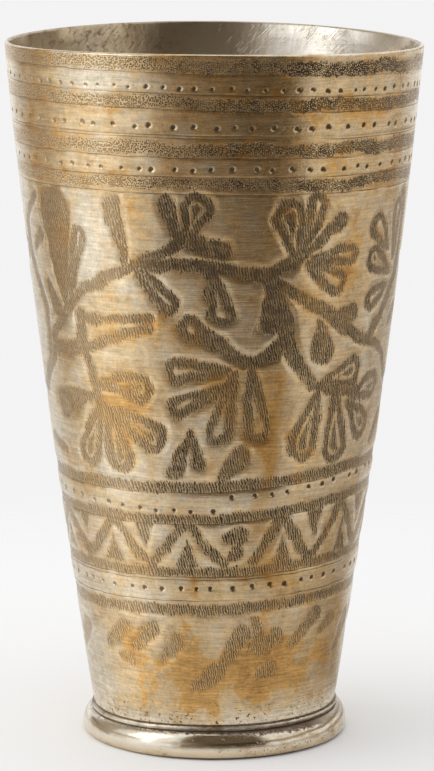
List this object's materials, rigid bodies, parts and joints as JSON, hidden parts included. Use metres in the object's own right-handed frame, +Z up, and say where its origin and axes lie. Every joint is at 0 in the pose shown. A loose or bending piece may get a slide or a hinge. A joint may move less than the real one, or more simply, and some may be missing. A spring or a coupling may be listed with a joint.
{
  "type": "lassi tumbler",
  "caption": "Tall tapered metal drinking tumbler with a plain rim, a chased outside and a half-round foot ring, for lassi and other cold drinks.",
  "frame": {"origin": "centre of the foot's underside, on the surface it stands on", "axes": "+Z up along the tumbler's axis, towards the open rim; -Y is the side that faces the camera"},
  "size_m": [0.0948, 0.0948, 0.16],
  "materials": {
    "plated_wall": "worn silvery plating over chased brass",
    "disc_brass": "tarnished brass",
    "plated_foot": "polished worn plating",
    "solder": "dull soft solder"
  },
  "bodies": {
    "root": {"tumbler_wall": "plated_wall", "base_disc": "disc_brass", "foot_ring": "plated_foot", "inner_solder_fillet": "solder", "under_solder_fillet": "solder"}
  },
  "joints": []
}
